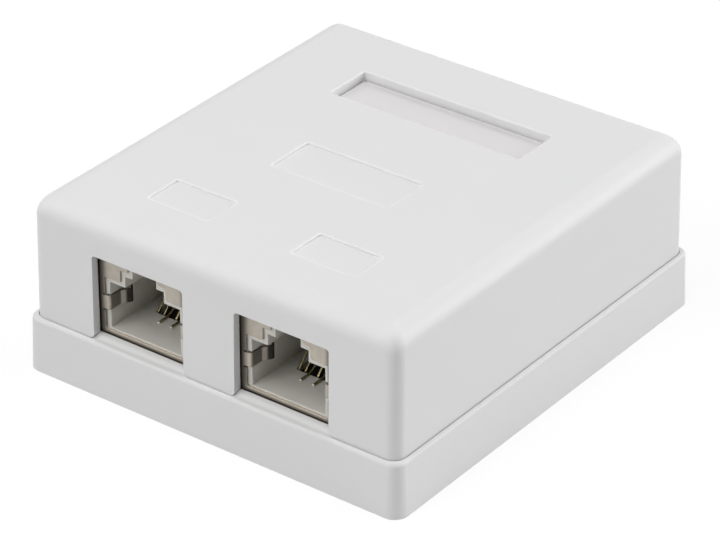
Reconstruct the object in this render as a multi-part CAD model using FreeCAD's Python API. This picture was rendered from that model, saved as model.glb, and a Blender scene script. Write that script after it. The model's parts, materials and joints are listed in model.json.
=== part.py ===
import FreeCAD, Part
import math
import os

# Surface mount jack box with two shielded eight-way sockets, in millimetres.
# +X runs along the front from left to right, +Y from the sockets to the back, +Z up.
# The origin is the middle of the base's underside.

# Base tray
base_width = 61.5
base_depth = 67.7
base_corner = 2.1
base_draft = 2.2
rim_height = 8.06
rim_rounding = 0.6
floor_thickness = 2.0
ledge_drop = 0.51
ledge_reach = 1.42
inner_corner = 0.8
rib_length = 8.0
rib_thickness = 0.9
rib_rise = 2.0

# Cover
total_height = 26.14
cover_inset = 0.655
cover_draft = 0.78
cover_corner = 1.85
cover_rounding = 2.96
cover_wall = 1.25
cover_top = 1.8
cover_inner_corner = 0.6
seam_gap = 0.12

# Openings for the sockets in the cover's front wall
port_spacing = 23.43
port_shift = -0.1
port_width = 15.05
port_top = 20.57
port_top_rounding = 0.5
port_mouth_rounding = 0.7
sill_height = 0.5
sill_land = 0.22
sill_foot = 0.04
sill_clearance = 0.07

# Recesses in the cover's top
label_width = 30.79
label_depth = 7.36
label_corner = 0.25
label_sink = 1.1
window_thickness = 0.8
window_clearance = 0.16
card_thickness = 0.25
card_gap = 0.05
pocket_wall = 1.2
plaque_width = 18.77
plaque_depth = 7.72
plaque_set_back = 29.16
mark_width = 9.88
mark_depth = 5.91
mark_set_back = 11.82
shallow_sink = 0.3
shallow_corner = 0.3
recess_chamfer = 0.15

# Cable knock-outs in the cover's rear wall
knockout_width = 12.0
knockout_top = 17.0
knockout_corner = 3.0
knockout_groove = 0.5
knockout_groove_depth = 0.3
knockout_thinning = 0.45

# Screw that holds the cover, under the label
cover_screw_radius = 1.25
cover_screw_head = 2.5
cover_screw_head_height = 1.6
cover_screw_tip = 4.6
pillar_radius = 2.9
pillar_head_radius = 3.9
pillar_head_height = 3.6
boss_radius = 3.0
boss_top = 12.0
boss_bore_floor = 3.6
boss_gap = 0.92
screw_seat_depth = 2.4

# Circuit board, which carries the sockets a little left of the middle of their openings
board_shift = -0.29
board_width = 40.6
board_thickness = 1.6
board_stand = 4.6
board_tail = 0.7
board_gap = 1.3
board_corner = 0.6
post_radius = 2.4

# Board screws and clamp screws
small_screw_radius = 1.2
small_screw_head = 1.9
small_screw_head_height = 1.3
small_screw_length = 5.4
thread_clearance = 0.05
hole_clearance = 0.15
board_screw_set_back = 9.37
drive_width = 0.5
drive_length = 2.2
drive_depth = 0.7
head_chamfer = 0.45

# Socket shell, folded from sheet
shell_width = 15.2
shell_height = 13.4
shell_length = 18.6
shell_gap = 0.09
sheet = 0.3
shell_bend = 1.05
shell_lip = 2.2
frame_side = 6.5
frame_floor = 1.04
frame_corner = 0.3
frame_top = 12.1
ear_floor = 8.88
ear_reach = 3.8
ear_corners = (0.45, 0.15)
step_floor = 10.75
step_reach = 2.5

# Earthing springs at the sides of the socket
spring_floor = 4.05
spring_height = 2.0
spring_sheet = 0.22
spring_slit = 0.27
spring_root = 0.25
spring_inset = 0.5
spring_flat = 2.05
spring_lean = 0.28
spring_slope = 1.35
spring_bulge = 0.87
spring_tail = 0.75
spring_return = 0.75
spring_round = 0.35

# Socket insulator
housing_setback = 0.34
housing_clearance = 0.1
housing_rounding = 0.62
cavity_half_width = 5.85
cavity_floor = 1.26
cavity_height = 6.88
cavity_length = 15.2
latch_half_widths = (3.22, 1.99)
latch_rises = (1.68, 1.8)
spring_pocket = 0.55
spring_pocket_length = 4.6
spring_pocket_margin = 0.15

# Contacts
contact_count = 8
contact_pitch = 1.03
contact_width = 0.32
contact_sheet = 0.28
contact_bend = 0.35
long_contacts = (2, 4, 6)
contact_tip = 4.32
slot_front = 6.41
slot_floor = 0.4
slot_margin = 0.08
contact_height = 2.75
contact_lead = 0.4
ramp_run = 0.7
ramp_rise = 0.12
tail_run = 0.8
tail_drop = 0.1
short_foot_run = 0.15
short_foot_drop = 0.1
short_slope_run = 2.5
short_round_run = 0.7
short_round_drop = 0.35
carrier_front = 12.02
carrier_height = 5.6
carrier_foot = 0.2
carrier_clearance = 0.05

# Terminal blocks behind the sockets
block_length = 16.4
block_depth = 5.6
block_height = 11.8
block_gap = 2.57
block_spacing = 7.8
block_ways = 4
block_pitch = 3.9
block_chamfer = 0.5
wire_slot = 0.9
wire_slot_depth = 8.4
blade_width = 2.4
blade_thickness = 0.4
blade_drop = 1.0
blade_slit = 0.36
blade_slit_depth = 6.0
blade_clearance = 0.1

# Clamp for the cable screens
clamp_gap = 4.7
clamp_depth = 4.6
clamp_sheet = 0.8
clamp_bore = 3.7
clamp_foot = 4.1

# Wall fixing and rear cable opening in the floor
fixing_spacing = 48.6
fixing_y = -10.0
fixing_radius = 2.1
fixing_head_radius = 3.7
fixing_head_depth = 0.8
floor_opening_width = 20.0
floor_opening_front_gap = 1.55
floor_opening_back_gap = 1.2
floor_opening_corner = 1.5

# Worked out from the sizes above
base_slope = math.tan(math.radians(base_draft))
cover_slope = math.tan(math.radians(cover_draft))
rim_half_x = base_width / 2 - rim_height * base_slope
rim_half_y = base_depth / 2 - rim_height * base_slope
cover_half_x = rim_half_x - cover_inset
cover_half_y = rim_half_y - cover_inset
inner_half_x = cover_half_x - ledge_reach
inner_half_y = cover_half_y - ledge_reach
hollow_half_x = cover_half_x - cover_wall
hollow_half_y = cover_half_y - cover_wall
ledge_z = rim_height - ledge_drop
sill_z = rim_height + sill_height
board_bottom = floor_thickness + board_stand
board_top = board_bottom + board_thickness
port_xs = (port_shift - port_spacing / 2, port_shift + port_spacing / 2)
socket_xs = (board_shift - port_spacing / 2, board_shift + port_spacing / 2)
shell_front = -inner_half_y + shell_gap
housing_front = shell_front + housing_setback
housing_back = shell_front + shell_length - sheet - housing_clearance
housing_half_x = shell_width / 2 - sheet - housing_clearance
housing_top = board_top + shell_height - sheet - housing_clearance
cavity_z = board_top + cavity_floor
window_z = total_height - label_sink - window_thickness
card_z = window_z - card_gap - card_thickness
pocket_z = card_z
screw_seat_z = pocket_z - screw_seat_depth
clamp_reach = port_spacing / 2 + clamp_bore + clamp_sheet + clamp_foot / 2
clamp_screw_xs = (board_shift - clamp_reach, board_shift + clamp_reach)
slot_half = contact_pitch * (contact_count - 1) / 2 + contact_width / 2 + slot_margin
block_front_y = shell_front + shell_length + block_gap + block_depth / 2
block_ys = (block_front_y, block_front_y + block_spacing)
clamp_y = block_ys[1] + block_depth / 2 + clamp_gap + clamp_depth / 2
board_back = clamp_y + clamp_depth / 2 + board_tail
board_screw_ys = (shell_front + board_screw_set_back, sum(block_ys) / 2)
label_centre_y = board_back + boss_gap + boss_radius
plaque_centre_y = plaque_set_back - cover_half_y
mark_centre_y = mark_set_back - cover_half_y
opening_front = label_centre_y + boss_radius + floor_opening_front_gap
opening_back = inner_half_y - floor_opening_back_gap
margin = 1.0
edge_tolerance = 0.01


def point(x, y, z):
    return FreeCAD.Vector(x, y, z)


along_x = point(1, 0, 0)
along_y = point(0, 1, 0)


def block(x_low, x_high, y_low, y_high, z_low, z_high):
    return Part.makeBox(x_high - x_low, y_high - y_low, z_high - z_low, point(x_low, y_low, z_low))


def rod(x, y, z, radius, height):
    return Part.makeCylinder(radius, height, point(x, y, z))


def rounded_rectangle(half_x, half_y, radius, z, x=0.0, y=0.0):
    """Closed level outline with four round corners."""
    edges = []
    ends = []
    for turn in range(4):
        side_x = 1 if turn in (0, 3) else -1
        side_y = 1 if turn in (0, 1) else -1
        centre = point(x + side_x * (half_x - radius), y + side_y * (half_y - radius), z)
        spots = []
        for part in (0.0, 0.5, 1.0):
            angle = math.radians(90.0 * (turn + part))
            spots.append(centre + point(radius * math.cos(angle), radius * math.sin(angle), 0))
        edges.append(Part.Arc(*spots).toShape())
        ends.append((spots[0], spots[2]))
    joined = []
    for turn in range(4):
        joined.append(edges[turn])
        joined.append(Part.makeLine(ends[turn][1], ends[(turn + 1) % 4][0]))
    return Part.Wire(joined)


def pad(half_x, half_y, radius, z_low, z_high, x=0.0, y=0.0):
    """Upright prism with round corners."""
    outline = rounded_rectangle(half_x, half_y, radius, z_low, x, y)
    return Part.Face(outline).extrude(point(0, 0, z_high - z_low))


def extrude_outline(corners, direction):
    """Prism on a closed outline of straight edges."""
    return Part.Face(Part.makePolygon(list(corners) + [corners[0]])).extrude(direction)


def trapezoid_bar(half, slope, length, z_low, z_high, way):
    """Level bar whose two long sides lean inwards by a slope."""
    drawn = (z_high - z_low) * slope
    across = point(way.y, way.x, 0)
    start = way * (-length / 2)
    corners = [(-half, z_low), (half, z_low), (half - drawn, z_high), (drawn - half, z_high)]
    return extrude_outline([start + across * a + point(0, 0, z) for a, z in corners], way * length)


def drafted_block(half_x, half_y, slope, radius, z_low, z_high):
    """Block that narrows upwards on all sides, its round upright corners being cones."""
    flat_x = half_x - radius
    flat_y = half_y - radius
    height = z_high - z_low
    parts = [trapezoid_bar(half_y, slope, flat_x * 2, z_low, z_high, along_x)]
    for x in (-flat_x, flat_x):
        for y in (-flat_y, flat_y):
            parts.append(Part.makeCone(radius, radius - height * slope, height, point(x, y, z_low)))
    return fused(trapezoid_bar(half_x, slope, flat_y * 2, z_low, z_high, along_y), parts)


def round_outline(corners, radii):
    """Closed outline through the corners, each rounded by its own radius where that is over zero."""
    edges = []
    spots = []
    count = len(corners)
    for n in range(count):
        here = corners[n]
        back = (corners[n - 1] - here).normalize()
        ahead = (corners[(n + 1) % count] - here).normalize()
        if radii[n] == 0:
            spots.append((here, here))
            continue
        half = back.getAngle(ahead) / 2
        reach = radii[n] / math.tan(half)
        middle = (back + ahead).normalize()
        crown = here + middle * (radii[n] / math.sin(half) - radii[n])
        first = here + back * reach
        last = here + ahead * reach
        edges.append(Part.Arc(first, crown, last).toShape())
        spots.append((first, last))
    for n in range(count):
        start = spots[n][1]
        end = spots[(n + 1) % count][0]
        if start.distanceToPoint(end) > 1e-6:
            edges.append(Part.makeLine(start, end))
    return Part.Wire(Part.__sortEdges__(edges))


def bent_strip(path, bend, thickness, across):
    """Bent sheet: a path thickened to both sides, its bends round, then extruded across."""
    way = FreeCAD.Vector(across).normalize()
    sides = ([], [])
    radii = ([], [])
    for n, here in enumerate(path):
        before = (here - path[n - 1]).normalize() if n > 0 else (path[1] - here).normalize()
        after = (path[n + 1] - here).normalize() if n < len(path) - 1 else before
        middle = (before + after).normalize()
        normal = way.cross(middle)
        reach = thickness / 2 / middle.dot(before)
        turn = before.cross(after).dot(way)
        for side, sign in enumerate((1, -1)):
            sides[side].append(here + normal * reach * sign)
            round_side = bend - sign * math.copysign(thickness / 2, turn)
            radii[side].append(0 if n in (0, len(path) - 1) else round_side)
    outline = round_outline(sides[0] + sides[1][::-1], radii[0] + radii[1][::-1])
    return Part.Face(outline).extrude(across)


def fused(first, others):
    return first.multiFuse(list(others)).removeSplitter()


def cut(first, others):
    return first.cut(Part.makeCompound(list(others)))


def edges_at(shape, level):
    return [edge for edge in shape.Edges if edge.BoundBox.ZMin > level - edge_tolerance]


def save(name, shape):
    shape.exportStep("parts/" + name + ".step")


def port_outline(x, y, gap):
    """Port of the front wall, drawn in by a gap: open at the bottom, where its corners flare outwards."""
    half = port_width / 2 - gap
    flare = half + port_mouth_rounding + gap * 2
    knee = rim_height + port_mouth_rounding
    radius = port_mouth_rounding + gap
    top = port_top - gap
    low = ledge_z - margin
    corners = [(-flare, low), (-flare, knee - radius), (-half, knee - radius), (-half, top),
               (half, top), (half, knee - radius), (flare, knee - radius), (flare, low)]
    rounding = port_top_rounding - gap
    radii = [0, 0, radius, rounding, rounding, radius, 0, 0]
    return Part.Face(round_outline([point(x + a, y, z) for a, z in corners], radii))


def sill(x):
    """Raised sill of the base in one port: an S-curve from the rim up to the socket's lip."""
    front = -cover_half_y - seam_gap
    foot_z = rim_height - sill_foot
    run = -inner_half_y - sill_land - front
    rise = sill_z - foot_z
    half = port_width / 2 + port_mouth_rounding - sill_clearance
    low = x - half
    turn = 2 * math.atan2(rise, run)
    radius = run / 2 / math.sin(turn)
    drift = radius * math.sin(turn / 2)
    sag = radius * (1 - math.cos(turn / 2))
    foot = point(low, front, foot_z)
    waist = point(low, front + run / 2, foot_z + rise / 2)
    crest = point(low, front + run, sill_z)
    hollow = Part.Arc(foot, foot + point(0, drift, sag), waist)
    crown = Part.Arc(waist, crest - point(0, drift, sag), crest)
    back_top = point(low, -inner_half_y, sill_z)
    back_foot = point(low, -inner_half_y, ledge_z - ledge_drop)
    front_foot = point(low, front, ledge_z - ledge_drop)
    edges = [hollow.toShape(), crown.toShape(), Part.makeLine(crest, back_top)]
    edges.append(Part.makeLine(back_top, back_foot))
    edges.append(Part.makeLine(back_foot, front_foot))
    edges.append(Part.makeLine(front_foot, foot))
    ramp = Part.Face(Part.Wire(edges)).extrude(point(half * 2, 0, 0))
    limit = port_outline(x, front - margin, sill_clearance).extrude(point(0, ledge_reach + 2 * margin, 0))
    return ramp.common(limit)


def locating_ribs():
    """Ribs inside the base's wall that centre the cover."""
    top = rim_height + rib_rise
    ribs = []
    for side in (-1, 1):
        wall = side * inner_half_x
        inner = side * (inner_half_x - rib_thickness)
        for y in (-inner_half_y / 2, inner_half_y / 2):
            ribs.append(block(min(wall, inner), max(wall, inner), y - rib_length / 2, y + rib_length / 2,
                              floor_thickness, top))
        x = side * inner_half_x / 2
        ribs.append(block(x - rib_length / 2, x + rib_length / 2, inner_half_y - rib_thickness, inner_half_y,
                          floor_thickness, top))
    return ribs


def base():
    """Tray with a stepped rim, board posts, a boss for the cover's screw and the wall fixing holes."""
    tray = drafted_block(base_width / 2, base_depth / 2, base_slope, base_corner, 0, rim_height)
    tray = tray.makeFillet(rim_rounding, edges_at(tray, rim_height))
    groove_x = cover_half_x + seam_gap
    groove_y = cover_half_y + seam_gap
    tray = tray.cut(pad(groove_x, groove_y, cover_corner + seam_gap, ledge_z, rim_height + margin))
    tray = tray.cut(pad(inner_half_x, inner_half_y, inner_corner, floor_thickness, rim_height + margin))
    added = [sill(x) for x in port_xs] + locating_ribs()
    posts = [(board_shift, y) for y in board_screw_ys] + [(x, clamp_y) for x in clamp_screw_xs]
    for x, y in posts:
        added.append(rod(x, y, floor_thickness, post_radius, board_stand))
    added.append(rod(0, label_centre_y, floor_thickness, boss_radius, boss_top - floor_thickness))
    tray = fused(tray, added)
    removed = []
    bore = small_screw_radius + thread_clearance
    for x, y in posts:
        removed.append(rod(x, y, floor_thickness, bore, board_stand + margin))
    for x in (-fixing_spacing / 2, fixing_spacing / 2):
        removed.append(rod(x, fixing_y, -margin, fixing_radius, floor_thickness + 2 * margin))
        removed.append(rod(x, fixing_y, floor_thickness - fixing_head_depth, fixing_head_radius, margin * 2))
    removed.append(rod(0, label_centre_y, boss_bore_floor, cover_screw_radius + thread_clearance, boss_top))
    removed.append(pad(floor_opening_width / 2, (opening_back - opening_front) / 2, floor_opening_corner,
                       -margin, floor_thickness + margin, 0, (opening_front + opening_back) / 2))
    return cut(tray, removed)


def cover_form():
    """Outer form of the cover: drafted walls, round corners and a wide round top edge."""
    grow = (rim_height - ledge_z) * cover_slope
    half_x = cover_half_x + grow
    half_y = cover_half_y + grow
    form = trapezoid_bar(half_x, cover_slope, half_y * 2, ledge_z, total_height, along_y)
    form = form.common(trapezoid_bar(half_y, cover_slope, half_x * 2, ledge_z, total_height, along_x))
    upright_edges = [edge for edge in form.Edges if edge.BoundBox.ZLength > cover_rounding]
    form = form.makeFillet(cover_corner, upright_edges)
    return form.makeFillet(cover_rounding, edges_at(form, total_height))


def knockout_cutters(x):
    """Score line outside and a thinned panel inside, where a cable can be broken in."""
    middle_z = (ledge_z + knockout_top) / 2
    wall_y = cover_half_y - (middle_z - rim_height) * cover_slope
    low = ledge_z - knockout_corner * 2
    half = knockout_width / 2

    def panel(grow, y_low, y_high):
        corners = [point(x - half - grow, y_low, low), point(x + half + grow, y_low, low),
                   point(x + half + grow, y_low, knockout_top + grow),
                   point(x - half - grow, y_low, knockout_top + grow)]
        radius = knockout_corner + grow
        outline = round_outline(corners, [0, 0, radius, radius])
        return Part.Face(outline).extrude(point(0, y_high - y_low, 0))

    groove_y = wall_y - knockout_groove_depth
    score = panel(0, groove_y, wall_y + margin).cut(panel(-knockout_groove, groove_y, wall_y + margin))
    inner_y = wall_y - cover_wall
    thinned = panel(0, inner_y - margin, inner_y + knockout_thinning)
    return [score, thinned]


def recess(width, depth, corner, floor_z, x, y):
    return pad(width / 2, depth / 2, corner, floor_z, total_height + margin, x, y)


def recess_edges(lid):
    """Edges round the mouths of the recesses: all those of the flat top except its outer rim."""
    rim_x = cover_half_x - cover_rounding * 2
    rim_y = cover_half_y - cover_rounding * 2
    found = []
    for edge in edges_at(lid, total_height):
        box = edge.BoundBox
        if max(-box.XMin, box.XMax) < rim_x and max(-box.YMin, box.YMax) < rim_y:
            found.append(edge)
    return found


def cover():
    """Lid with a wide round top edge, two ports, the label pocket and its screw pillar."""
    lid = cover_form()
    inner_top = total_height - cover_top
    lid = lid.cut(pad(hollow_half_x, hollow_half_y, cover_inner_corner, ledge_z - margin, inner_top))
    pocket_half_x = label_width / 2 + pocket_wall
    pocket_half_y = label_depth / 2 + pocket_wall
    tray = pad(pocket_half_x, pocket_half_y, label_corner + pocket_wall, pocket_z - pocket_wall,
               inner_top + cover_top / 2, 0, label_centre_y)
    pillar = rod(0, label_centre_y, boss_top, pillar_radius, pocket_z - boss_top)
    collar = rod(0, label_centre_y, pocket_z - pillar_head_height, pillar_head_radius, pillar_head_height)
    lid = fused(lid, [tray, pillar, collar])
    shallow_z = total_height - shallow_sink
    recesses = [recess(label_width, label_depth, label_corner, pocket_z, 0, label_centre_y),
                recess(plaque_width, plaque_depth, shallow_corner, shallow_z, 0, plaque_centre_y)]
    for x in port_xs:
        recesses.append(recess(mark_width, mark_depth, shallow_corner, shallow_z, x, mark_centre_y))
    lid = cut(lid, recesses)
    lid = lid.makeChamfer(recess_chamfer, recess_edges(lid))
    hole = hole_clearance * 2
    removed = [rod(0, label_centre_y, screw_seat_z, cover_screw_head + hole, total_height),
               rod(0, label_centre_y, boss_top - margin, cover_screw_radius + hole, total_height)]
    wall = base_depth / 2 - inner_half_y + cover_wall
    for x in port_xs:
        removed.append(port_outline(x, -base_depth / 2 - margin, 0).extrude(point(0, wall + 2 * margin, 0)))
        removed += knockout_cutters(x)
    return cut(lid, removed)


def label_window():
    """Clear strip that snaps into the label pocket."""
    half_x = label_width / 2 - window_clearance
    half_y = label_depth / 2 - window_clearance
    return pad(half_x, half_y, label_corner, window_z, window_z + window_thickness, 0, label_centre_y)


def label_card():
    """Paper slip under the clear strip."""
    half_x = label_width / 2 - window_clearance
    half_y = label_depth / 2 - window_clearance
    return pad(half_x, half_y, label_corner, card_z, card_z + card_thickness, 0, label_centre_y)


def screw(x, y, seat_z, radius, head_radius, head_height, length):
    """Pan head screw with a cross recess, its shank plain."""
    head = rod(x, y, seat_z, head_radius, head_height)
    crown_z = seat_z + head_height / 2
    crown_edges = [edge for edge in head.Edges if edge.Closed and edge.CenterOfMass.z > crown_z]
    head = head.makeChamfer(head_chamfer, crown_edges)
    body = head.fuse(rod(x, y, seat_z - length, radius, length)).removeSplitter()
    top = seat_z + head_height
    bars = [block(x - drive_length / 2, x + drive_length / 2, y - drive_width / 2, y + drive_width / 2,
                  top - drive_depth, top + margin),
            block(x - drive_width / 2, x + drive_width / 2, y - drive_length / 2, y + drive_length / 2,
                  top - drive_depth, top + margin)]
    return cut(body, bars)


def cover_screw():
    return screw(0, label_centre_y, screw_seat_z, cover_screw_radius, cover_screw_head,
                 cover_screw_head_height, screw_seat_z - cover_screw_tip)


def small_screws(places, seat_z, length):
    """Group of like screws that hold the board or the clamp."""
    return Part.makeCompound([screw(x, y, seat_z, small_screw_radius, small_screw_head,
                                    small_screw_head_height, length) for x, y in places])


def board_screws():
    return small_screws([(board_shift, y) for y in board_screw_ys], board_top, small_screw_length)


def clamp_screws():
    return small_screws([(x, clamp_y) for x in clamp_screw_xs], board_top + clamp_sheet,
                        small_screw_length + clamp_sheet)


def circuit_board():
    """Board on its posts, with clearance holes for its screws."""
    front = -inner_half_y + board_gap
    depth = board_back - front
    board = pad(board_width / 2, depth / 2, board_corner, board_bottom, board_top, board_shift,
                front + depth / 2)
    hole = small_screw_radius + hole_clearance
    places = [(board_shift, y) for y in board_screw_ys] + [(x, clamp_y) for x in clamp_screw_xs]
    return cut(board, [rod(x, y, board_bottom - margin, hole, board_thickness + 2 * margin)
                       for x, y in places])


def folded_box(x, half_x, front, back, z_low, z_high, bend):
    """Box with a round bend along each of the four edges of its front."""
    plan = [point(x - half_x, back, z_low), point(x - half_x, front, z_low),
            point(x + half_x, front, z_low), point(x + half_x, back, z_low)]
    side = [point(x - half_x, back, z_low), point(x - half_x, front, z_low),
            point(x - half_x, front, z_high), point(x - half_x, back, z_high)]
    radii = [0, bend, bend, 0]
    upright = Part.Face(round_outline(plan, radii)).extrude(point(0, 0, z_high - z_low))
    level = Part.Face(round_outline(side, radii)).extrude(point(half_x * 2, 0, 0))
    return upright.common(level)


def earthing_spring(x, side):
    """Tab folded back from the frame's edge, with a bulge that presses on a plug."""
    z = board_top + spring_floor
    front = shell_front + sheet / 2
    wall = frame_side - spring_inset
    leaned = wall - spring_lean
    crest = leaned - spring_bulge
    flat_end = front + spring_flat
    crest_end = flat_end + spring_slope
    plan = [(frame_side + spring_root, front), (wall, front), (leaned, flat_end), (crest, crest_end),
            (crest + spring_return, crest_end + spring_tail)]
    path = [point(x + side * a, y, z) for a, y in plan]
    return bent_strip(path, spring_round, spring_sheet, point(0, 0, spring_height))


def frame_cutter(x):
    """Stepped hole in the shell's front, with the slits beside the springs."""
    corners = []
    for side, ear_corner in zip((1, -1), ear_corners):
        outline = [(frame_side, frame_floor, frame_corner), (frame_side, ear_floor, 0),
                   (ear_reach, ear_floor, ear_corner), (ear_reach, step_floor, ear_corner),
                   (step_reach, step_floor, ear_corner), (step_reach, frame_top, 0)]
        corners += [(side * a, z, radius) for a, z, radius in outline[::side]]
    y = shell_front - margin
    through = sheet + margin
    spots = [point(x + a, y, board_top + z) for a, z, radius in corners]
    outline = round_outline(spots, [radius for a, z, radius in corners])
    opening = Part.Face(outline).extrude(point(0, margin + through, 0))
    slits = []
    for low in (spring_floor - spring_slit, spring_floor + spring_height):
        slits.append(block(x - frame_side - spring_slit, x + frame_side + spring_slit, y,
                           shell_front + through, board_top + low, board_top + low + spring_slit))
    return [opening] + slits


def jack_shell(x):
    """Folded metal box round the insulator, open below behind its front lip."""
    half = shell_width / 2
    back = shell_front + shell_length
    top = board_top + shell_height
    outer = folded_box(x, half, shell_front, back, board_top, top, shell_bend)
    inner = folded_box(x, half - sheet, shell_front + sheet, back - sheet, board_top + sheet, top - sheet,
                       shell_bend - sheet)
    foot = block(x - half + sheet, x + half - sheet, shell_front + shell_lip, back - sheet,
                 board_top - margin, board_top + sheet + housing_clearance)
    shell = cut(outer.cut(inner), frame_cutter(x) + [foot])
    springs = [earthing_spring(x, side) for side in (-1, 1)]
    return fused(shell, springs)


def latch_cutters(x):
    """Stepped cavity of the socket: the plug's body, then two narrower steps for its latch."""
    y = housing_front - margin
    back = housing_front + cavity_length
    z = cavity_z + cavity_height
    cutters = [block(x - cavity_half_width, x + cavity_half_width, y, back, cavity_z, z)]
    for half, rise in zip(latch_half_widths, latch_rises):
        cutters.append(block(x - half, x + half, y, back, z - margin, z + rise))
        z += rise
    return cutters


def carrier_box(x, clearance):
    """Space of the contact carrier: a foot under the floor's slot and a wall behind it."""
    half = slot_half - clearance
    slot = housing_front + slot_front + clearance
    wall = housing_front + carrier_front + clearance
    back = housing_front + cavity_length
    foot_z = board_top + carrier_foot
    low = block(x - half, x + half, slot, back, foot_z, board_top + slot_floor)
    high = block(x - half, x + half, wall, back, foot_z, board_top + carrier_height)
    return low, high


def jack_housing(x):
    """Insulator of the socket."""
    lip_z = board_top + sheet + housing_clearance
    lip_y = shell_front + shell_lip + housing_clearance
    body = folded_box(x, housing_half_x, housing_front, housing_back, lip_z, housing_top, housing_rounding)
    foot = block(x - housing_half_x, x + housing_half_x, lip_y, housing_back, board_top, lip_z)
    body = fused(body, [foot])
    removed = latch_cutters(x)
    removed.append(block(x - slot_half, x + slot_half, housing_front + slot_front,
                         housing_front + cavity_length, board_top + carrier_foot, cavity_z + margin))
    pocket_x = cavity_half_width + spring_pocket
    low = board_top + spring_floor - spring_pocket_margin
    removed.append(block(x - pocket_x, x + pocket_x, housing_front - margin,
                         housing_front + spring_pocket_length, low,
                         low + spring_height + 2 * spring_pocket_margin))
    return cut(body, removed)


def contact_carrier(x):
    """Dark insert that the contacts come out of."""
    low, high = carrier_box(x, carrier_clearance)
    return fused(low, [high])


def contact_path(x, is_long):
    """Side view of one contact, from its free end to the carrier."""
    floor = cavity_z + contact_sheet / 2
    wall = housing_front + carrier_front + carrier_clearance
    high = cavity_z + contact_height
    if is_long:
        tip = housing_front + contact_tip
        bend = housing_front + slot_front - contact_lead
        spots = [(tip, floor), (bend, floor), (bend + ramp_run, floor + ramp_rise),
                 (wall - tail_run, high - tail_drop), (wall, high - tail_drop)]
    else:
        foot = housing_front + slot_front + contact_sheet
        rise_end = foot + short_slope_run
        spots = [(foot, board_top + slot_floor + contact_sheet / 2),
                 (foot + short_foot_run, cavity_z - short_foot_drop),
                 (rise_end, high - short_round_drop), (rise_end + short_round_run, high), (wall, high)]
    return [point(x - contact_width / 2, y, z) for y, z in spots]


def jack_contacts(x):
    """Eight spring contacts side by side; the third, fifth and seventh reach forward over the floor."""
    contacts = []
    for n in range(contact_count):
        contact_x = x + (n - (contact_count - 1) / 2) * contact_pitch
        path = contact_path(contact_x, n in long_contacts)
        contacts.append(bent_strip(path, contact_bend, contact_sheet, point(contact_width, 0, 0)))
    return Part.makeCompound(contacts)


def way_xs(x):
    return [x + (n - (block_ways - 1) / 2) * block_pitch for n in range(block_ways)]


def terminal_block(x, y):
    """Punch-down block with a slot and a blade pocket for each wire."""
    half_x = block_length / 2
    half_y = block_depth / 2
    top = board_top + block_height
    side = []
    for sign in (-1, 1):
        corners = [(half_y, board_top), (half_y, top - block_chamfer), (half_y - block_chamfer, top)]
        side += [point(x - half_x, y + sign * a, z) for a, z in corners[::sign]]
    body = extrude_outline(side, point(block_length, 0, 0))
    removed = []
    pocket_x = blade_width / 2 + blade_clearance
    pocket_y = blade_thickness / 2 + blade_clearance
    for way in way_xs(x):
        removed.append(block(way - wire_slot / 2, way + wire_slot / 2, y - half_y - margin,
                             y + half_y + margin, top - wire_slot_depth, top + margin))
        removed.append(block(way - pocket_x, way + pocket_x, y - pocket_y, y + pocket_y,
                             board_top - margin, top + margin))
    return cut(body, removed)


def terminal_blades(x, y):
    """Forked blades that cut through a wire's sleeve."""
    top = board_top + block_height - blade_drop
    blades = []
    for way in way_xs(x):
        blade = block(way - blade_width / 2, way + blade_width / 2, y - blade_thickness / 2,
                      y + blade_thickness / 2, board_top, top)
        slit = block(way - blade_slit / 2, way + blade_slit / 2, y - margin, y + margin,
                     top - blade_slit_depth, top + margin)
        blades.append(blade.cut(slit))
    return Part.makeCompound(blades)


def screen_clamp():
    """Sheet strip with an arch over each cable."""
    y = clamp_y - clamp_depth / 2
    top = board_top + clamp_sheet
    end = clamp_foot / 2
    bar = block(clamp_screw_xs[0] - end, clamp_screw_xs[1] + end, y, y + clamp_depth, board_top, top)
    arches = []
    holes = []
    for x in socket_xs:
        centre = point(x, y, board_top + clamp_bore)
        outer = clamp_bore + clamp_sheet
        crown = Part.makeCylinder(outer, clamp_depth, centre, point(0, 1, 0))
        legs = block(x - outer, x + outer, y, y + clamp_depth, board_top, centre.z)
        arches += [crown, legs]
        holes.append(Part.makeCylinder(clamp_bore, clamp_depth + 2 * margin, centre - point(0, margin, 0),
                                       point(0, 1, 0)))
        holes.append(block(x - clamp_bore, x + clamp_bore, y - margin, y + clamp_depth + margin,
                           board_top - margin, centre.z))
    for x in clamp_screw_xs:
        holes.append(rod(x, clamp_y, board_top - margin, small_screw_radius + hole_clearance,
                         clamp_sheet + 2 * margin))
    return cut(fused(bar, arches), holes)


def build():
    os.makedirs("parts", exist_ok=True)
    save("base", base())
    save("cover", cover())
    save("label_window", label_window())
    save("label_card", label_card())
    save("cover_screw", cover_screw())
    save("circuit_board", circuit_board())
    save("board_screws", board_screws())
    save("screen_clamp", screen_clamp())
    save("clamp_screws", clamp_screws())
    for side, x in zip(("left", "right"), socket_xs):
        save(side + "_jack_housing", jack_housing(x))
        save(side + "_jack_shell", jack_shell(x))
        save(side + "_jack_contacts", jack_contacts(x))
        save(side + "_contact_carrier", contact_carrier(x))
        for place, y in zip(("front", "rear"), block_ys):
            save(side + "_" + place + "_terminal_block", terminal_block(x, y))
            save(side + "_" + place + "_blades", terminal_blades(x, y))


build()
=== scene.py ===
import json
import math

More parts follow.
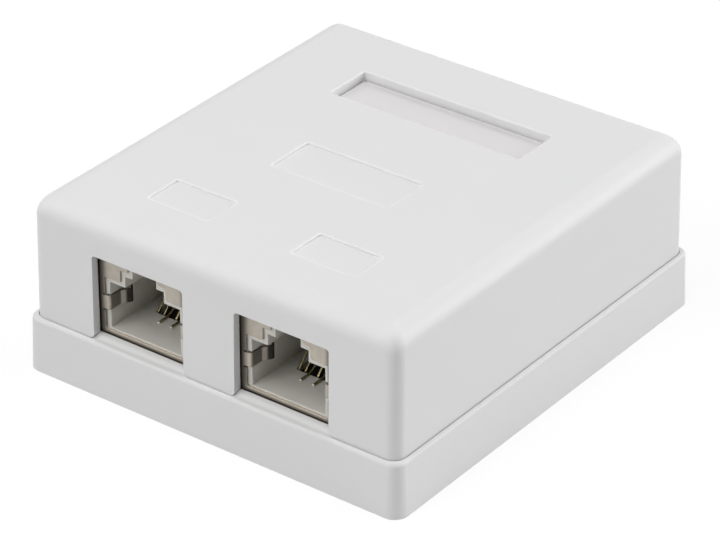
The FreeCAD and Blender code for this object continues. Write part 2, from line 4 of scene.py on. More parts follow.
import bmesh
import bpy
import numpy as np
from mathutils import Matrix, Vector


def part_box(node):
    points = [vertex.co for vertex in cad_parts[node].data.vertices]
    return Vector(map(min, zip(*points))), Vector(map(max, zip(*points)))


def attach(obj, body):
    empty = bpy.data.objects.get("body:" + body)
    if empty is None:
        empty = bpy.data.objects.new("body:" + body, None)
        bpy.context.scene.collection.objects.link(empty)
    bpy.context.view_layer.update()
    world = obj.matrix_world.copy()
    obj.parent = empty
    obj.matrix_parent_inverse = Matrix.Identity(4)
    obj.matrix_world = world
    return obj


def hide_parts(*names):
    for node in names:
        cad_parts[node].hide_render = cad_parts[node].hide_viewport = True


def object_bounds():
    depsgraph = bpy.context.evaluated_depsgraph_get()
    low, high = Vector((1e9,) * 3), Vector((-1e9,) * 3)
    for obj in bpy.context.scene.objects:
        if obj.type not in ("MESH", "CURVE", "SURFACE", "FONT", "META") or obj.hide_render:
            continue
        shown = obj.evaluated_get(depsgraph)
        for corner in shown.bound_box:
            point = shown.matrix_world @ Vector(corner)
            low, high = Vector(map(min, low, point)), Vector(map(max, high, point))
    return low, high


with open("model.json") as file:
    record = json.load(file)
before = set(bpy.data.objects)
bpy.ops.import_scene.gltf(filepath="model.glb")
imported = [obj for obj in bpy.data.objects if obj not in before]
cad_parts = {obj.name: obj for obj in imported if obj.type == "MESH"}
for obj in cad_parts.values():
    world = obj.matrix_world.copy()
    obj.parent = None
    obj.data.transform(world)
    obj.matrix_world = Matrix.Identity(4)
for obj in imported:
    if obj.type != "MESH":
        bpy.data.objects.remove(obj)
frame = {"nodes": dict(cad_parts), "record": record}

nodes = frame["nodes"]
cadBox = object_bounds()
bodyOf = {node: body for body, members in frame["record"]["behaviour"]["bodies"].items() for node in members}
sides = ("left", "right")
mm = 0.001
print("frame loaded with", len(nodes), "nodes")


# Helpers for shader nodes, shared by the groups and the materials

def rgb(r, g, b):
    return (r, g, b, 1.0)


def addNode(tree, kind, values=None, **settings):
    node = tree.nodes.new(kind)
    for key, value in settings.items():
        setattr(node, key, value)
    for key, value in (values or {}).items():
        node.inputs[key].default_value = value
    return node


# Another node's output is linked to a socket, while a number or a colour is set on it
def feed(tree, socket, value):
    if isinstance(value, bpy.types.NodeSocket):
        tree.links.new(value, socket)
    else:
        socket.default_value = value


def mathNode(tree, operation, *values):
    node = addNode(tree, "ShaderNodeMath", operation=operation)
    for socket, value in zip(node.inputs, values):
        feed(tree, socket, value)
    return node.outputs[0]


# A Mix node keeps its colours in sockets 6 and 7, and gives the mixed colour in output 2
def mixColors(tree, share, first, second, blend="MIX"):
    mix = addNode(tree, "ShaderNodeMix", data_type="RGBA", blend_type=blend, clamp_factor=True)
    for index, value in ((0, share), (6, first), (7, second)):
        feed(tree, mix.inputs[index], value)
    return mix.outputs[2]


def noiseAt(tree, place, scale, detail):
    noise = addNode(tree, "ShaderNodeTexNoise", {"Detail": detail})
    feed(tree, noise.inputs["Vector"], place)
    feed(tree, noise.inputs["Scale"], scale)
    return noise.outputs["Fac"]


bumpDepth = 0.02 * mm


def bumpFrom(tree, height, strength):
    bump = addNode(tree, "ShaderNodeBump", {"Distance": bumpDepth})
    feed(tree, bump.inputs["Strength"], strength)
    feed(tree, bump.inputs["Height"], height)
    return bump.outputs["Normal"]


# Where a point of the surface is on its object, as X, Y and Z
def placeOn(tree):
    place = addNode(tree, "ShaderNodeSeparateXYZ")
    feed(tree, place.inputs[0], addNode(tree, "ShaderNodeTexCoord").outputs["Object"])
    return place.outputs


# How far a value lies from a middle, on either side of it
def distanceFrom(tree, value, middle):
    return mathNode(tree, "ABSOLUTE", mathNode(tree, "SUBTRACT", value, middle))


# A share that turns smoothly from 0, where a value is at start, to 1, where it is at end
def smoothShare(tree, value, start, end):
    share = addNode(tree, "ShaderNodeMapRange", {"From Min": start, "From Max": end},
                    interpolation_type="SMOOTHSTEP")
    feed(tree, share.inputs["Value"], value)
    return share.outputs["Result"]


# Shader node groups, each built once and placed in several materials

groupOutputs = (("Color", "NodeSocketColor"), ("Roughness", "NodeSocketFloat"),
                ("Normal", "NodeSocketVector"))


def newGroup(name, inputs):
    group = bpy.data.node_groups.new(name, "ShaderNodeTree")
    for socketName, kind, value in inputs:
        socket = group.interface.new_socket(socketName, in_out="INPUT", socket_type=kind)
        socket.default_value = value
    for socketName, kind in groupOutputs:
        group.interface.new_socket(socketName, in_out="OUTPUT", socket_type=kind)
    return group, group.nodes.new("NodeGroupInput").outputs, group.nodes.new("NodeGroupOutput").inputs


# Spark-eroded mould texture: fine bump, slow cloudy tint and slightly uneven gloss
mouldNoise = {"cloudScale": 90.0, "cloudDetail": 3.0, "grainDetail": 2.0, "unevenGloss": 0.1}


def buildMouldGrain(cloudScale, cloudDetail, grainDetail, unevenGloss):
    group, given, result = newGroup("mouldGrain", (
        ("Color", "NodeSocketColor", rgb(0.8, 0.8, 0.8)),
        ("Cloud Color", "NodeSocketColor", rgb(0.7, 0.7, 0.7)),
        ("Cloud", "NodeSocketFloat", 0.2),
        ("Grain Scale", "NodeSocketFloat", 4000.0),
        ("Grain Depth", "NodeSocketFloat", 0.05),
        ("Roughness", "NodeSocketFloat", 0.45)))
    place = addNode(group, "ShaderNodeTexCoord").outputs["Object"]
    cloud = noiseAt(group, place, cloudScale, cloudDetail)
    grain = noiseAt(group, place, given["Grain Scale"], grainDetail)
    share = mathNode(group, "MULTIPLY", cloud, given["Cloud"])
    uneven = mathNode(group, "MULTIPLY", grain, unevenGloss)
    feed(group, result["Color"], mixColors(group, share, given["Color"], given["Cloud Color"]))
    feed(group, result["Roughness"], mathNode(group, "ADD", given["Roughness"], uneven))
    feed(group, result["Normal"], bumpFrom(group, grain, given["Grain Depth"]))
    return group


# Rolled and plated sheet: streaks along one way, small dull spots and fingerprints
platingNoise = {"streakDetail": 3.0, "spotScale": 900.0, "spotDetail": 4.0, "unevenGloss": 0.2}


def buildPlating(streakDetail, spotScale, spotDetail, unevenGloss):
    group, given, result = newGroup("plating", (
        ("Color", "NodeSocketColor", rgb(0.7, 0.7, 0.7)),
        ("Stain Color", "NodeSocketColor", rgb(0.5, 0.5, 0.5)),
        ("Stain", "NodeSocketFloat", 0.3),
        ("Streak", "NodeSocketVector", (400.0, 400.0, 4000.0)),
        ("Streak Depth", "NodeSocketFloat", 0.1),
        ("Roughness", "NodeSocketFloat", 0.3)))
    place = addNode(group, "ShaderNodeTexCoord").outputs["Object"]
    stretch = addNode(group, "ShaderNodeVectorMath", operation="MULTIPLY")
    feed(group, stretch.inputs[0], place)
    feed(group, stretch.inputs[1], given["Streak"])
    streaks = noiseAt(group, stretch.outputs[0], 1.0, streakDetail)  # the stretch already holds their scale
    spots = noiseAt(group, place, spotScale, spotDetail)
    stain = mathNode(group, "MULTIPLY", spots, given["Stain"])
    uneven = mathNode(group, "MULTIPLY", spots, unevenGloss)
    feed(group, result["Color"], mixColors(group, stain, given["Color"], given["Stain Color"]))
    feed(group, result["Roughness"], mathNode(group, "ADD", given["Roughness"], uneven))
    feed(group, result["Normal"], bumpFrom(group, streaks, given["Streak Depth"]))
    return group


mouldGrain = buildMouldGrain(**mouldNoise)
plating = buildPlating(**platingNoise)
print("shader groups built")


# Materials: one group's colour, roughness and bump each, and plain values on the shader itself

def finish(name, group, inputs, shader):
    material = bpy.data.materials.new(name)
    material.use_nodes = True
    tree = material.node_tree
    principled = tree.nodes["Principled BSDF"]
    effect = addNode(tree, "ShaderNodeGroup", inputs, node_tree=group)
    for key, value in shader.items():
        principled.inputs[key].default_value = value
    for given, taken in (("Color", "Base Color"), ("Roughness", "Roughness"), ("Normal", "Normal")):
        tree.links.new(effect.outputs[given], principled.inputs[taken])
    return material


whiteAbs = finish("whiteAbs", mouldGrain, {
    "Color": rgb(0.80, 0.80, 0.80), "Cloud Color": rgb(0.775, 0.775, 0.78), "Cloud": 0.5,
    "Grain Scale": 5000.0, "Grain Depth": 0.15, "Roughness": 0.42},
    {"IOR": 1.52, "Specular IOR Level": 0.4})
socketPlastic = finish("socketPlastic", mouldGrain, {
    "Color": rgb(0.71, 0.695, 0.65), "Cloud Color": rgb(0.64, 0.62, 0.57), "Cloud": 0.5,
    "Grain Scale": 6000.0, "Grain Depth": 0.1, "Roughness": 0.32},
    {"IOR": 1.56, "Subsurface Weight": 0.25, "Subsurface Scale": 0.6 * mm,
     "Subsurface Radius": (1.0, 0.95, 0.85)})
darkPlastic = finish("darkPlastic", mouldGrain, {
    "Color": rgb(0.006, 0.006, 0.006), "Cloud Color": rgb(0.010, 0.010, 0.009), "Cloud": 0.5,
    "Grain Scale": 6000.0, "Grain Depth": 0.1, "Roughness": 0.5},
    {"IOR": 1.5})
blockPlastic = finish("blockPlastic", mouldGrain, {
    "Color": rgb(0.70, 0.70, 0.67), "Cloud Color": rgb(0.64, 0.64, 0.62), "Cloud": 0.5,
    "Grain Scale": 5000.0, "Grain Depth": 0.15, "Roughness": 0.35},
    {"IOR": 1.5})
paperCard = finish("paperCard", mouldGrain, {
    "Color": rgb(0.80, 0.765, 0.765), "Cloud Color": rgb(0.76, 0.73, 0.735), "Cloud": 0.7,
    "Grain Scale": 2500.0, "Grain Depth": 0.3, "Roughness": 0.75},
    {"IOR": 1.4})
nickelSheet = finish("nickelSheet", plating, {
    "Color": rgb(0.53, 0.49, 0.43), "Stain Color": rgb(0.30, 0.26, 0.215), "Stain": 0.5,
    "Streak": (300.0, 300.0, 5000.0), "Streak Depth": 0.08, "Roughness": 0.5},
    {"Metallic": 0.9})
clampSteel = finish("clampSteel", plating, {
    "Color": rgb(0.64, 0.63, 0.61), "Stain Color": rgb(0.46, 0.45, 0.44), "Stain": 0.4,
    "Streak": (300.0, 4000.0, 300.0), "Streak Depth": 0.1, "Roughness": 0.28},
    {"Metallic": 1.0})
zincScrew = finish("zincScrew", plating, {
    "Color": rgb(0.66, 0.66, 0.65), "Stain Color": rgb(0.5, 0.5, 0.5), "Stain": 0.5,
    "Streak": (1500.0, 1500.0, 1500.0), "Streak Depth": 0.1, "Roughness": 0.25},
    {"Metallic": 1.0})
tinnedBlade = finish("tinnedBlade", plating, {
    "Color": rgb(0.70, 0.69, 0.66), "Stain Color": rgb(0.5, 0.49, 0.47), "Stain": 0.4,
    "Streak": (400.0, 400.0, 4000.0), "Streak Depth": 0.1, "Roughness": 0.3},
    {"Metallic": 1.0})
goldContact = finish("goldContact", plating, {
    "Color": rgb(0.46, 0.40, 0.23), "Stain Color": rgb(0.24, 0.20, 0.11), "Stain": 0.6,
    "Streak": (4000.0, 400.0, 400.0), "Streak Depth": 0.1, "Roughness": 0.16},
    {"Metallic": 1.0})
solderMask = finish("solderMask", mouldGrain, {
    "Color": rgb(0.02, 0.16, 0.06), "Cloud Color": rgb(0.03, 0.22, 0.08), "Cloud": 0.8,
    "Grain Scale": 3000.0, "Grain Depth": 0.1, "Roughness": 0.25},
    {"Coat Weight": 0.4})
clearWindow = finish("clearWindow", mouldGrain, {
    "Color": rgb(0.98, 0.955, 0.965), "Cloud Color": rgb(0.94, 0.92, 0.93), "Cloud": 0.5,
    "Grain Scale": 4000.0, "Grain Depth": 0.03, "Roughness": 0.05},
    {"IOR": 1.49, "Alpha": 0.65})


# What a tone over a material needs: its tree, the shader's sockets and the colour that it has so far
def shaderOf(material):
    tree = material.node_tree
    shader = tree.nodes["Principled BSDF"].inputs
    return tree, shader, shader["Base Color"].links[0].from_socket


# Rounded mouths of the recesses get a painted highlight, a little paler than the flats, by the share that
# their mesh holds
rimPaintedHighlight = {"highlightColor": rgb(0.905, 0.905, 0.905)}


def paintRimHighlight(material, highlightColor):
    tree, shader, plain = shaderOf(material)
    rimHighlight = addNode(tree, "ShaderNodeAttribute", attribute_name="rimHighlight", attribute_type="GEOMETRY")
    feed(tree, shader["Base Color"], mixColors(tree, rimHighlight.outputs["Fac"], plain, highlightColor))


paintRimHighlight(whiteAbs, **rimPaintedHighlight)


# Painted shading over a shell, by the distance from its socket's middle and the depth behind its front.
# Springs get painted shade on their flats and a darker painted shade along their crests. The lip has a band
# of painted highlight, and the folds at its sides and its foot get a brown painted shade, with less metal
# there
springPaintedShade = {"half": 6.2 * mm, "depth": 5.0 * mm,
               "shadeSteps": ((0.35, 1.0), (0.6, 0.42), (1.9, 0.45), (2.25, 0.85), (2.6, 0.8), (2.9, 0.10),
                         (4.6, 0.10))}
lipPaintedHighlight = {"low": 0.86 * mm, "high": 1.6 * mm, "fade": 0.25 * mm, "highlightTint": rgb(0.80, 0.73, 0.62)}
foldShadeSpread = {"inner": 5.85 * mm, "outer": 6.95 * mm, "low": 0.36 * mm, "high": 1.14 * mm,
             "springMiddle": 5.05 * mm, "springHalf": 1.0 * mm, "springShift": 0.4 * mm}
foldPaintedShade = {"depth": 1.4 * mm, "shadeBrown": rgb(0.145, 0.126, 0.105), "bareMetal": 0.9, "dullMetal": 0.35}


# Nearer to the middle than half, and as far back as depth, a ramp of painted shade darkens the colour. Each
# step has its millimetres behind the front and the brightness that it leaves
def paintSpringShade(tree, plain, across, behind, half, depth, shadeSteps):
    ramp = addNode(tree, "ShaderNodeValToRGB")
    elements = ramp.color_ramp.elements
    while len(elements) < len(shadeSteps):
        elements.new(1.0)
    for element, (deep, tone) in zip(elements, shadeSteps):
        element.position = deep * mm / depth
        element.color = rgb(tone, tone, tone)
    feed(tree, ramp.inputs["Fac"], mathNode(tree, "DIVIDE", behind, depth))
    onSpring = mathNode(tree, "LESS_THAN", across, half)
    onSpring = mathNode(tree, "MULTIPLY", onSpring, mathNode(tree, "LESS_THAN", behind, depth))
    return mixColors(tree, onSpring, plain, ramp.outputs["Color"], "MULTIPLY")


# Between low and high above the shell's foot, the painted highlight grows over the width of fade from both
# borders
def paintLipHighlight(tree, plain, above, atFront, low, high, fade, highlightTint):
    rise = mathNode(tree, "SUBTRACT", above, low)
    fall = mathNode(tree, "SUBTRACT", high, above)
    lit = mathNode(tree, "DIVIDE", mathNode(tree, "MINIMUM", rise, fall), fade)
    lit = mathNode(tree, "MINIMUM", mathNode(tree, "MAXIMUM", lit, 0.0), 1.0)
    return mixColors(tree, mathNode(tree, "MULTIPLY", lit, atFront), plain, highlightTint)


# The share of brown painted shade grows across from inner to outer, further out at the springs' height, and
# from high down to low above the shell's foot
def foldShadeShare(tree, across, above, atFront, inner, outer, low, high, springMiddle, springHalf, springShift):
    atSpring = mathNode(tree, "LESS_THAN", distanceFrom(tree, above, springMiddle), springHalf)
    shifted = mathNode(tree, "SUBTRACT", across, mathNode(tree, "MULTIPLY", atSpring, springShift))
    side = smoothShare(tree, shifted, inner, outer)
    foot = smoothShare(tree, above, high, low)
    return mathNode(tree, "MULTIPLY", mathNode(tree, "MAXIMUM", side, foot), atFront)


def paintShellShading(material, springs, lip, folds, depth, shadeBrown, bareMetal, dullMetal):
    tree, shader, plain = shaderOf(material)
    left, right = (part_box(side + "_jack_shell") for side in sides)
    place = placeOn(tree)
    fromMiddle = distanceFrom(tree, place["X"], (left[0].x + right[1].x) / 2)
    across = distanceFrom(tree, fromMiddle, (right[0].x - left[0].x) / 2)
    behind = mathNode(tree, "SUBTRACT", place["Y"], left[0].y)
    above = mathNode(tree, "SUBTRACT", place["Z"], left[0].z)
    atFront = mathNode(tree, "LESS_THAN", behind, depth)
    toned = paintSpringShade(tree, plain, across, behind, **springs)
    toned = paintLipHighlight(tree, toned, above, atFront, **lip)
    # The folds and the foot take a brown painted shade, and their metal is dulled
    share = foldShadeShare(tree, across, above, atFront, **folds)
    feed(tree, shader["Base Color"], mixColors(tree, share, toned, shadeBrown))
    dulled = mathNode(tree, "MULTIPLY", share, dullMetal - bareMetal)
    feed(tree, shader["Metallic"], mathNode(tree, "ADD", dulled, bareMetal))


paintShellShading(nickelSheet, springPaintedShade, lipPaintedHighlight, foldShadeSpread, **foldPaintedShade)


# The window's border lies in the shade of its pocket's walls, by the distance from its nearest edge, and most
# at its corners, by the sum of the distances from two edges
borderShade = {"border": 0.32 * mm, "corner": 1.5 * mm, "shade": rgb(0.42, 0.41, 0.41)}


def shadedBorder(material, name, border, corner, shade):
    tree, shader, plain = shaderOf(material)
    low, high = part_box(name)
    place = placeOn(tree)
    gaps = []
    for axis, start, end in (("X", low.x, high.x), ("Y", low.y, high.y)):
        off = distanceFrom(tree, place[axis], (start + end) / 2)
        gaps.append(mathNode(tree, "SUBTRACT", (end - start) / 2, off))
    atBorder = smoothShare(tree, mathNode(tree, "MINIMUM", *gaps), border, 0.0)
    atCorner = smoothShare(tree, mathNode(tree, "ADD", *gaps), corner, 0.0)
    share = mathNode(tree, "MAXIMUM", atBorder, atCorner)
    feed(tree, shader["Base Color"], mixColors(tree, share, plain, shade))


shadedBorder(clearWindow, "label_window", **borderShade)


# The foremost ends of the contacts get a painted highlight
tipPaintedHighlight = {"length": 0.22 * mm, "glintTint": rgb(0.98, 0.95, 0.80)}


def paintTipHighlight(material, length, glintTint):
    tree, shader, plain = shaderOf(material)
    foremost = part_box("left_jack_contacts")[0].y
    atEnd = mathNode(tree, "LESS_THAN", placeOn(tree)["Y"], foremost + length)
    feed(tree, shader["Base Color"], mixColors(tree, atEnd, plain, glintTint))


paintTipHighlight(goldContact, **tipPaintedHighlight)


# Cut edges of the board show its bare laminate: they are the faces whose normal is not upright
cutEdges = {"laminate": rgb(0.30, 0.23, 0.10), "upright": 0.5}


def bareEdges(material, laminate, upright):
    tree, shader, painted = shaderOf(material)
    normal = addNode(tree, "ShaderNodeSeparateXYZ")
    feed(tree, normal.inputs[0], addNode(tree, "ShaderNodeNewGeometry").outputs["Normal"])
    level = mathNode(tree, "GREATER_THAN", mathNode(tree, "ABSOLUTE", normal.outputs["Z"]), upright)
    feed(tree, shader["Base Color"], mixColors(tree, level, laminate, painted))


bareEdges(solderMask, **cutEdges)


# The material of each node
materialOf = {"base": whiteAbs, "cover": whiteAbs, "label_window": clearWindow, "label_card": paperCard,
              "cover_screw": zincScrew, "board_screws": zincScrew, "clamp_screws": zincScrew,
              "screen_clamp": clampSteel, "circuit_board": solderMask}
for side in sides:
    materialOf[side + "_jack_shell"] = nickelSheet
    materialOf[side + "_jack_housing"] = socketPlastic
    materialOf[side + "_jack_contacts"] = goldContact
    materialOf[side + "_contact_carrier"] = darkPlastic
    for place in ("front", "rear"):
        materialOf[f"{side}_{place}_terminal_block"] = blockPlastic
        materialOf[f"{side}_{place}_blades"] = tinnedBlade
for name, material in materialOf.items():
    nodes[name].data.materials.clear()
    nodes[name].data.materials.append(material)
print("materials given to", len(materialOf), "nodes")


# Finished copies of moulded and folded CAD pieces: joined faces, soft edges and even shading

edgeFinish = {
    "cover": {"bevel": 0, "segments": 0, "crease": 50},
    "base": {"bevel": 0.12 * mm, "segments": 3, "crease": 35},
    "label_window": {"bevel": 0.12 * mm, "segments": 3, "crease": 35},
}
for side in sides:
    edgeFinish[side + "_jack_housing"] = {"bevel": 0.07 * mm, "segments": 3, "crease": 35}
    edgeFinish[side + "_jack_shell"] = {"bevel": 0.05 * mm, "segments": 2, "crease": 35}
    edgeFinish[side + "_jack_contacts"] = {"bevel": 0.08 * mm, "segments": 3, "crease": 35}


# Recesses in the cover's top get new mouths. A mouth drops to its depth over a rounded lip, as high as lip
# and as wide as width, and a wall that leans by its draft. Its floor has round corners
# Each mouth's last value is the share of painted highlight on its walls below the lip
mouths = {
    "shallow": {"depth": 0.30 * mm, "lip": 0.15 * mm, "width": 0.38 * mm, "draft": 8.0,
                "corner": 0.30 * mm, "wallHighlight": 0.0},
    "label": {"depth": 1.15 * mm, "lip": 0.22 * mm, "width": 0.26 * mm, "draft": 11.0,
              "corner": 0.25 * mm, "wallHighlight": 1.0},
}
mouthGrid = {"arcs": 7, "turns": 5, "flatRing": 0.15 * mm, "leastReach": 0.02 * mm}
rimHighlightSpread = {"even": 0.75, "uneven": 0.3, "towards": (0.5, -0.85)}  # painted highlight, strongest at the front right

# How the old edges are found: the clearance round the window, the margin that they may stand out of a
# recess's box, and the height that still counts as level. The walls of the label's pocket, which end within
# wallDepth, are cut at below its new mouth
mouthFit = {"clearance": 0.16 * mm, "margin": 0.16 * mm, "level": 0.002 * mm, "below": 0.05 * mm,
            "wallDepth": 3 * mm, "cutWidth": 0.0001 * mm}


# A mouth's profile, from a flat ring down to its floor. It drops by the lip times 1 - cos while it steps in
# by the width times sin, a quarter ellipse but for the wall's lean, and then follows the wall. It gives the
# lip's angles, and each row's drop and distance outside the floor's edge
def mouthProfile(depth, lip, width, draft):
    lean = math.radians(draft)
    angle = np.linspace(0, math.pi / 2 - lean, mouthGrid["arcs"])
    drop = np.concatenate([[0], lip * (1 - np.cos(angle)), [depth]])
    inset = np.concatenate([[0], width * np.sin(angle), [0]])
    inset[-1] = inset[-2] + (depth - drop[-2]) * math.tan(lean)
    outside = inset[-1] - inset
    outside[0] += mouthGrid["flatRing"]
    return angle, drop, outside


# Four-sided faces between each ring of points and the next, and a floor in the last ring where it is closed
def ringFaces(rows, count, closed):
    cell = np.arange(rows - 1)[:, None] * count + np.arange(count)[None]
    after = np.arange(rows - 1)[:, None] * count + (np.arange(count)[None] + 1) % count
    faces = np.stack([cell, after, after + count, cell + count], axis=2).reshape(-1, 4).tolist()
    if closed:
        faces.append(list(range((rows - 1) * count, rows * count)))
    return faces


# The profile carried round a rectangle with round corners: a point is a corner's centre plus a unit way times
# a reach. Its share of painted highlight is the root of sin of twice the profile's angle, at least the walls'
# share below the lip's first row, and more towards the front right
def mouthSurface(centre, half, top, closed, depth, lip, width, draft, corner, wallHighlight):
    angle, drop, outside = mouthProfile(depth, lip, width, draft)
    turns = mouthGrid["turns"]
    turn = np.radians(np.add.outer(90.0 * np.arange(4), np.linspace(0, 90, turns)).ravel())
    way = np.stack([np.cos(turn), np.sin(turn)], axis=1)
    middle = np.repeat([[1, 1], [-1, 1], [-1, -1], [1, -1]], turns, axis=0) * (np.array(half) - corner)
    reach = np.maximum(corner + outside, mouthGrid["leastReach"])
    flat = np.array(centre) + middle[None] + way[None] * reach[:, None, None]
    level = np.repeat((top - drop)[:, None, None], len(turn), axis=1)
    points = np.concatenate([flat, level], axis=2)
    rimHighlight = np.maximum(np.concatenate([[0], np.sin(2 * angle) ** 0.5, [0]]), [0, 0] + [wallHighlight] * len(angle))
    rimHighlight = rimHighlight[:, None] * (rimHighlightSpread["even"] + rimHighlightSpread["uneven"] * (way @ rimHighlightSpread["towards"]))[None]
    mesh = bpy.data.meshes.new("mouth")
    mesh.from_pydata(points.reshape(-1, 3).tolist(), [], ringFaces(*points.shape[:2], closed))
    mesh.attributes.new("rimHighlight", "FLOAT", "POINT").data.foreach_set("value", rimHighlight.ravel().astype(np.float32))
    return mesh


# The lowest and highest corner of a group of faces
def boxOf(faces):
    spots = np.array([vert.co for face in faces for vert in face.verts])
    return spots.min(axis=0), spots.max(axis=0)


# Groups of joined faces, always in the same order
def islands(faces):
    left = list(faces)
    while left:
        group = [left.pop(0)]
        for face in group:
            for near in [other for side in face.edges for other in side.link_faces]:
                if near in left:
                    left.remove(near)
                    group.append(near)
        yield group


# Faces that lie in a box or stand out of it by less than the margin
def facesIn(work, low, high):
    low, high = low - mouthFit["margin"], high + mouthFit["margin"]
    return [face for face in work.faces
            if all(low[n] < vert.co[n] < high[n] for vert in face.verts for n in range(3))]


# Whether all points of a face or an edge lie at one level
def isLevel(item, level):
    return all(abs(vert.co.z - level) < mouthFit["level"] for vert in item.verts)


def openEdges(work):
    return [edge for edge in work.edges if len(edge.link_faces) == 1]


# The recesses' boxes: the shallow ones go by their floors, and the label's by its window
def findRecesses(work, top):
    floors = [face for face in work.faces if isLevel(face, top - mouths["shallow"]["depth"])]
    low, high = (np.array(corner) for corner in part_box("label_window"))
    low[:2] -= mouthFit["clearance"]
    high[:2] += mouthFit["clearance"]
    return [("shallow", *boxOf(group)) for group in islands(floors)] + [("label", low, high)]


# A recess's old edge is taken out, a shallow one's with its floor. The label's pocket is first cut level, so
# that its lower walls and its floor stay
def openRecess(work, kind, low, high, top):
    closed = kind == "shallow"
    lowest = top - mouths[kind]["depth"] - (0 if closed else mouthFit["below"])
    low, high = np.array([*low[:2], lowest]), np.array([*high[:2], top])
    if not closed:
        walls = facesIn(work, np.array([*low[:2], top - mouthFit["wallDepth"]]), high)
        parts = list(dict.fromkeys(part for face in walls for part in (*face.verts, *face.edges, face)))
        bmesh.ops.bisect_plane(work, geom=parts, dist=mouthFit["cutWidth"],
                               plane_co=(0, 0, lowest), plane_no=(0, 0, 1))
    bmesh.ops.delete(work, geom=facesIn(work, low, high), context="FACES")
    return mouthSurface((low[:2] + high[:2]) / 2, (high[:2] - low[:2]) / 2, top, closed, **mouths[kind])


# The cover's flat top is taken off and the mouths are put in. A filled flat joins them to the cover, and a
# band joins the label's mouth to its lower walls
def roundMouths(work):
    top = max(vert.co.z for vert in work.verts)
    recesses = findRecesses(work, top)
    flats = [face for face in work.faces if isLevel(face, top)]
    bmesh.ops.delete(work, geom=flats, context="FACES_ONLY")
    surfaces = [openRecess(work, kind, low, high, top) for kind, low, high in recesses]
    for mesh in surfaces:
        work.from_mesh(mesh)
    loose = [vert for vert in work.verts if not vert.link_faces]
    bmesh.ops.delete(work, geom=loose, context="VERTS")
    upper = [edge for edge in openEdges(work) if isLevel(edge, top)]
    bmesh.ops.triangle_fill(work, use_beauty=True, edges=upper, normal=(0, 0, 1))
    bmesh.ops.bridge_loops(work, edges=openEdges(work))
    print("recess mouths rounded, edges left open:", sum(len(edge.link_faces) != 2 for edge in work.edges))
    bmesh.ops.recalc_face_normals(work, faces=work.faces)


# The folds of a shell are fuller than their sheet's solid. Past the edge, a side's distance from the middle
# grows by the factor wide. Below the level, the lip's drop grows by the factor deep, in full at the front and
# less and less until lipDepth behind it
shellFolds = {"edge": 6.5 * mm, "wide": 1.45, "level": 1.04 * mm, "deep": 1.3, "lipDepth": 1.25 * mm}


def swellFolds(work, name, edge, wide, level, deep, lipDepth):
    corner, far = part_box(name)
    spots = np.array([vert.co for vert in work.verts])
    across = spots[:, 0] - (corner.x + far.x) / 2
    spots[:, 0] += np.sign(across) * np.maximum(np.abs(across) - edge, 0) * (wide - 1)
    near = np.clip(1 - (spots[:, 1] - corner.y) / lipDepth, 0, 1)
    spots[:, 2] -= np.maximum(level - (spots[:, 2] - corner.z), 0) * (deep - 1) * near
    for vert, spot in zip(work.verts, spots):
        vert.co = spot


# Points closer than this are merged, and faces that differ by fewer degrees than this are joined
joining = {"points": 0.001 * mm, "faces": 0.3}


def joinedMesh(name):
    mesh = nodes[name].data.copy()
    work = bmesh.new()
    work.from_mesh(mesh)
    bmesh.ops.remove_doubles(work, verts=work.verts, dist=joining["points"])
    if name == "cover":
        roundMouths(work)
    if name.endswith("_jack_shell"):
        swellFolds(work, name, **shellFolds)
    bmesh.ops.dissolve_limit(work, angle_limit=math.radians(joining["faces"]), verts=work.verts,
                             edges=work.edges)
    work.to_mesh(mesh)
    work.free()
    return mesh


# Edges over the crease (degrees) stay sharp or are rounded by a bevel, and large flats lead the shading
def softenEdges(piece, bevel, segments, crease):
    piece.data.shade_smooth()
    piece.data.set_sharp_from_angle(angle=math.radians(crease))
    if bevel:
        rounding = piece.modifiers.new("rounding", "BEVEL")
        rounding.width = bevel
        rounding.segments = segments
        rounding.limit_method = "ANGLE"
        rounding.angle_limit = math.radians(crease)
    even = piece.modifiers.new("even", "WEIGHTED_NORMAL")
    even.keep_sharp = True
    even.weight = 100


def finishedCopy(name, edges):
    piece = bpy.data.objects.new(name + "_finished", joinedMesh(name))
    bpy.context.scene.collection.objects.link(piece)
    softenEdges(piece, **edges)
    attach(piece, bodyOf[name])
    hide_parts(name)


for name, edges in edgeFinish.items():
    finishedCopy(name, edges)
print("finished copies made:", len(edgeFinish))


# Camera and lamps stand at an azimuth and an elevation round the box and look back at it: azimuth 0 looks
# along +Y

def wayTo(azimuth, elevation):
    turn, tilt = math.radians(azimuth), math.radians(elevation)
    return Vector((math.sin(turn) * math.cos(tilt), -math.cos(turn) * math.cos(tilt), math.sin(tilt)))


# A camera or a lamp looks along its own -Z, so its +Z is turned along the way to its stand
def addAimed(name, data, place, way):
    made = bpy.data.objects.new(name, data)
    made.location = place
    made.rotation_mode = "QUATERNION"
    made.rotation_quaternion = way.to_track_quat("Z", "Y")
    bpy.context.scene.collection.objects.link(made)
    return made


# Camera at the photograph's angle, a little to one side and above the line through the origin
camera = {"azimuth": 36.949, "elevation": 30.657, "distance": 0.49904, "sideStep": -0.000497,
          "rise": 0.008106, "lens": 184.57, "sensor": 36.0, "near": 0.01, "far": 20.0}


def addCamera(azimuth, elevation, distance, sideStep, rise, lens, sensor, near, far):
    back = wayTo(azimuth, elevation)
    right = wayTo(azimuth + 90, 0)
    up = back.cross(right)
    data = bpy.data.cameras.new("camera")
    data.lens = lens
    data.sensor_width = sensor
    data.clip_start = near
    data.clip_end = far
    place = back * distance + right * sideStep + up * rise
    bpy.context.scene.camera = addAimed("camera", data, place, back)


addCamera(**camera)


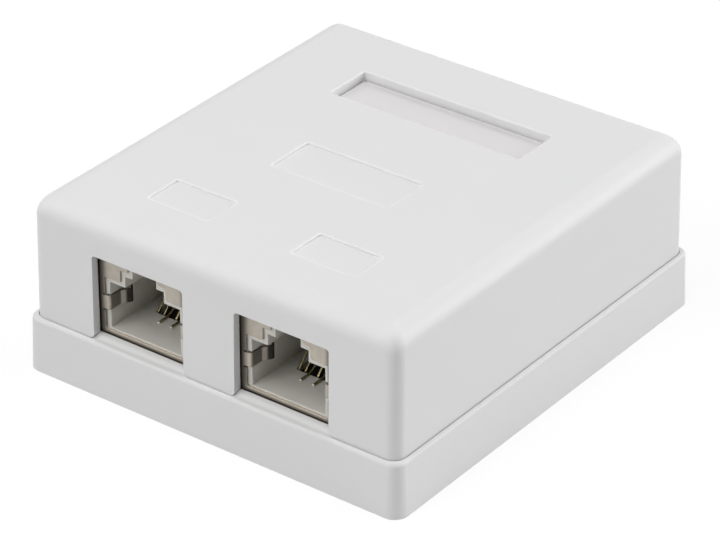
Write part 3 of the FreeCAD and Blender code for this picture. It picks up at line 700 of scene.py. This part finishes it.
# Soft studio light from both sides and above, each lamp aimed at the box's middle
lamps = {
    "overhead": {"azimuth": 0.0, "elevation": 88.0, "distance": 0.9, "size": 0.9, "power": 5.89},
    "leftSoftbox": {"azimuth": -45.0, "elevation": 35.0, "distance": 0.9, "size": 0.6, "power": 1.55},
    "frontSoftbox": {"azimuth": -10.0, "elevation": 38.0, "distance": 0.9, "size": 0.6, "power": 2.26},
    "rightSoftbox": {"azimuth": 135.0, "elevation": 12.0, "distance": 0.9, "size": 0.6, "power": 5.5},
}
aim = Vector((0, 0, 0.013))


def addLamp(name, azimuth, elevation, distance, size, power):
    towards = wayTo(azimuth, elevation)
    data = bpy.data.lights.new(name, "AREA")
    data.shape = "SQUARE"
    data.size = size
    data.energy = power
    addAimed(name, data, aim + towards * distance, towards)


for name, values in lamps.items():
    addLamp(name, **values)


# White surroundings: full white to the camera and through glass, a little dimmer to metal, and no light of
# their own on the box
surroundings = {"mirrored": 0.85}
floorSheet = {"half": 3.0, "below": 0.02 * mm,
              "paper": {"color": rgb(0.8, 0.8, 0.8), "rough": 0.9, "glow": 1.12, "glowShare": 0.7}}


# How much of white a ray sees: all of it to the camera and through glass, and mirrored of it to metal
def whiteShare(tree, mirrored=1.0):
    rays = addNode(tree, "ShaderNodeLightPath").outputs
    seen = mathNode(tree, "MAXIMUM", rays["Is Camera Ray"], rays["Is Transmission Ray"])
    return mathNode(tree, "MAXIMUM", seen, mathNode(tree, "MULTIPLY", rays["Is Glossy Ray"], mirrored))


def buildWorld(mirrored):
    world = bpy.data.worlds.new("studio")
    world.use_nodes = True
    bpy.context.scene.world = world
    tree = world.node_tree
    background = tree.nodes["Background"]
    background.inputs["Color"].default_value = rgb(1, 1, 1)
    feed(tree, background.inputs["Strength"], whiteShare(tree, mirrored))


# As the camera sees the paper, glowShare of it glows white, and the rest keeps the box's shadow
def paperFinish(color, rough, glow, glowShare):
    material = bpy.data.materials.new("floorPaper")
    material.use_nodes = True
    tree = material.node_tree
    principled = tree.nodes["Principled BSDF"]
    principled.inputs["Base Color"].default_value = color
    principled.inputs["Roughness"].default_value = rough
    white = addNode(tree, "ShaderNodeEmission", {"Color": rgb(1, 1, 1), "Strength": glow})
    blend = addNode(tree, "ShaderNodeMixShader")
    share = mathNode(tree, "MULTIPLY", whiteShare(tree), glowShare)
    for socket, value in zip(blend.inputs, (share, principled.outputs[0], white.outputs[0])):
        feed(tree, socket, value)
    tree.links.new(blend.outputs[0], tree.nodes["Material Output"].inputs["Surface"])
    return material


# A square of paper just below the box
def buildFloor(half, below, paper):
    low = cadBox[0].z - below
    corners = [(-half, -half, low), (half, -half, low), (half, half, low), (-half, half, low)]
    mesh = bpy.data.meshes.new("floor")
    mesh.from_pydata(corners, [], [(0, 1, 2, 3)])
    mesh.materials.append(paperFinish(**paper))
    floor = bpy.data.objects.new("floor", mesh)
    bpy.context.scene.collection.objects.link(floor)


buildWorld(**surroundings)
buildFloor(**floorSheet)
bpy.context.scene.view_settings.view_transform = "Standard"
print("camera, lamps, world and floor set")
